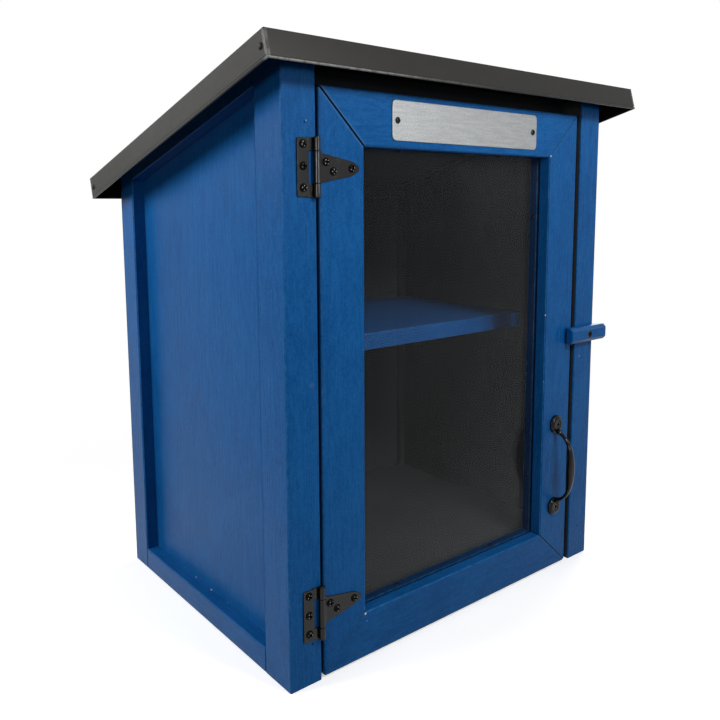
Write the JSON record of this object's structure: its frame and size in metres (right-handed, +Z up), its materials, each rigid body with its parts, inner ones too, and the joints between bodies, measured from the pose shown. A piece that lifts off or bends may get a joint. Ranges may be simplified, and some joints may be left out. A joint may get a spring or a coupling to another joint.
{
  "type": "street book exchange box",
  "caption": "Framed and painted timber cabinet with a pitched sheet-metal roof, a glazed door on T-hinges, a pull handle, a turn button, a bare sign plate and a shelf",
  "frame": {"origin": "centre of the whole box's footprint, roof overhang included, at the level of the posts' undersides", "axes": "+Z up, +X to the right as seen facing the door, the door faces -Y and the roof slopes down towards +Y"},
  "size_m": [0.5204, 0.3992, 0.5831],
  "materials": {
    "blue_paint": "pine and plywood under satin blue paint, grain showing through",
    "inside_paint": "plywood and softwood under dark grey paint",
    "black_metal": "black powder coat, fine texture, semi-gloss",
    "sign_metal": "fine brushing along its length, bare",
    "clear_pane": "clear acrylic sheet"
  },
  "bodies": {
    "cabinet": {"front_left_post": "blue_paint", "front_right_post": "blue_paint", "rear_left_post": "blue_paint", "rear_right_post": "blue_paint", "left_bottom_rail": "blue_paint", "right_bottom_rail": "blue_paint", "front_sill": "blue_paint", "rear_bottom_rail": "blue_paint", "left_top_rail": "blue_paint", "right_top_rail": "blue_paint", "front_header": "blue_paint", "rear_top_rail": "blue_paint", "left_side_panel": "blue_paint", "right_side_panel": "blue_paint", "rear_panel": "blue_paint", "floor_panel": "inside_paint", "shelf": "blue_paint", "left_shelf_cleat": "inside_paint", "right_shelf_cleat": "inside_paint", "roof_deck": "inside_paint", "roof_cap": "black_metal", "roof_rivet_front_left": "black_metal", "roof_rivet_rear_left": "black_metal", "roof_rivet_front_right": "black_metal", "roof_rivet_rear_right": "black_metal", "upper_hinge_leaf": "black_metal", "lower_hinge_leaf": "black_metal", "upper_hinge_pin": "black_metal", "lower_hinge_pin": "black_metal", "upper_leaf_screw_1": "black_metal", "upper_leaf_screw_2": "black_metal", "upper_leaf_screw_3": "black_metal", "lower_leaf_screw_1": "black_metal", "lower_leaf_screw_2": "black_metal", "lower_leaf_screw_3": "black_metal", "turn_button_screw": "black_metal"},
    "door": {"door_left_stile": "blue_paint", "door_right_stile": "blue_paint", "door_top_rail": "blue_paint", "door_bottom_rail": "blue_paint", "door_pane": "clear_pane", "left_glazing_bead": "blue_paint", "right_glazing_bead": "blue_paint", "top_glazing_bead": "blue_paint", "bottom_glazing_bead": "blue_paint", "sign_plate": "sign_metal", "sign_screw_1": "sign_metal", "sign_screw_2": "sign_metal", "door_handle": "black_metal", "upper_handle_screw": "black_metal", "lower_handle_screw": "black_metal", "upper_hinge_strap": "black_metal", "lower_hinge_strap": "black_metal", "upper_strap_screw_1": "black_metal", "upper_strap_screw_2": "black_metal", "upper_strap_screw_3": "black_metal", "lower_strap_screw_1": "black_metal", "lower_strap_screw_2": "black_metal", "lower_strap_screw_3": "black_metal"},
    "turn_button": {"turn_button": "blue_paint"}
  },
  "joints": [
    {"name": "door_hinge", "type": "hinge", "parent": "cabinet", "child": "door", "pos_m": [-0.1945, -0.17406, 0.27525], "axis": [0, 0, -1], "range_deg": [0, 170]},
    {"name": "turn_button_pivot", "type": "hinge", "parent": "cabinet", "child": "turn_button", "pos_m": [0.2056, -0.17716, 0.289], "axis": [0, 1, 0], "continuous": true}
  ]
}
